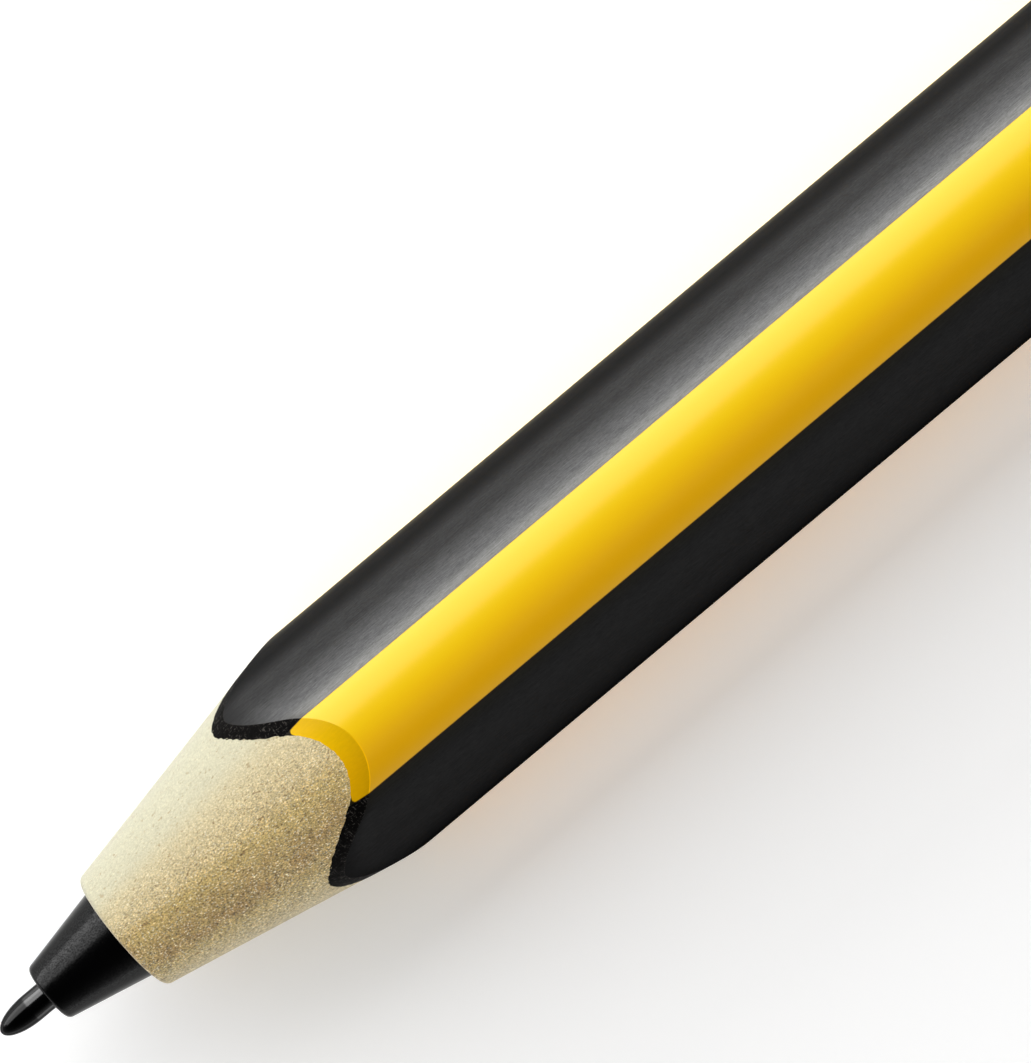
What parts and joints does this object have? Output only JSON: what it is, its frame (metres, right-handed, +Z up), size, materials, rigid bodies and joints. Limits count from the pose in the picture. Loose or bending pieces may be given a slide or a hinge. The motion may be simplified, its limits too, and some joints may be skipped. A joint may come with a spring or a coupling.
{
  "type": "digital stylus pen",
  "caption": "Pencil-shaped digital stylus with a rounded triangular striped wood-fibre barrel, a sharpened cone, a sprung replaceable nib and a sprung eraser button.",
  "frame": {"origin": "under the middle of the pencil's length, on the surface that it lies on", "axes": "+X along the barrel from the nib to the eraser, +Z up from the face that it lies on to the yellow corner above it"},
  "size_m": [0.177, 0.0106, 0.0102],
  "materials": {
    "wood_fibre": "pale extruded wood-fibre composite, machined matt where sharpened",
    "black_coat": "satin black co-extruded coat",
    "yellow_coat": "satin yellow co-extruded coat",
    "black_plastic": "moulded satin black",
    "nib_plastic": "polished black acetal",
    "grey_rubber": "soft matt rubber",
    "natural_nylon": "natural moulded nylon",
    "ferrite": "ground ferrite",
    "enamelled_copper": "enamelled copper wire",
    "spring_steel": "bright drawn wire",
    "white_ceramic": "fired white ceramic",
    "brass": "plain stamped brass",
    "board_laminate": "green solder mask"
  },
  "bodies": {
    "barrel": {"barrel_core": "wood_fibre", "black_face_bottom": "black_coat", "black_face_left": "black_coat", "black_face_right": "black_coat", "board_carrier": "natural_nylon", "circuit_board": "board_laminate", "end_collar": "black_plastic", "eraser_capacitor_1": "white_ceramic", "eraser_capacitor_2": "white_ceramic", "eraser_capacitor_3": "white_ceramic", "eraser_coil": "enamelled_copper", "eraser_coil_lead_1": "enamelled_copper", "eraser_coil_lead_2": "enamelled_copper", "eraser_dielectric_disc": "white_ceramic", "eraser_electrode_plate": "brass", "eraser_ferrite_core": "ferrite", "eraser_return_spring": "spring_steel", "eraser_sensor_case": "natural_nylon", "nib_capacitor_1": "white_ceramic", "nib_capacitor_2": "white_ceramic", "nib_capacitor_3": "white_ceramic", "nib_coil": "enamelled_copper", "nib_coil_lead_1": "enamelled_copper", "nib_coil_lead_2": "enamelled_copper", "nib_dielectric_disc": "white_ceramic", "nib_electrode_plate": "brass", "nib_ferrite_core": "ferrite", "nib_return_spring": "spring_steel", "nib_sensor_case": "natural_nylon", "nose_cone": "black_plastic", "tuning_chip": "black_plastic", "yellow_stripe_left": "yellow_coat", "yellow_stripe_right": "yellow_coat", "yellow_stripe_top": "yellow_coat"},
    "nib_carriage": {"nib_holder": "black_plastic", "nib_contact_pad": "grey_rubber"},
    "nib": {"nib": "nib_plastic"},
    "eraser": {"eraser_head": "grey_rubber", "eraser_rod": "black_plastic", "eraser_holder": "black_plastic", "eraser_contact_pad": "grey_rubber"}
  },
  "joints": [
    {"name": "nib_press", "type": "slide", "parent": "barrel", "child": "nib_carriage", "axis": [1, 0, 0], "range_m": [0, 0.0003], "stiffness_N_per_m": 5000, "deforming": ["nib_return_spring"]},
    {"name": "nib_pull", "type": "slide", "parent": "nib_carriage", "child": "nib", "axis": [-1, 0, 0], "range_m": [0, 0.026]},
    {"name": "eraser_press", "type": "slide", "parent": "barrel", "child": "eraser", "axis": [-1, 0, 0], "range_m": [0, 0.0003], "stiffness_N_per_m": 5000, "deforming": ["eraser_return_spring"]}
  ]
}
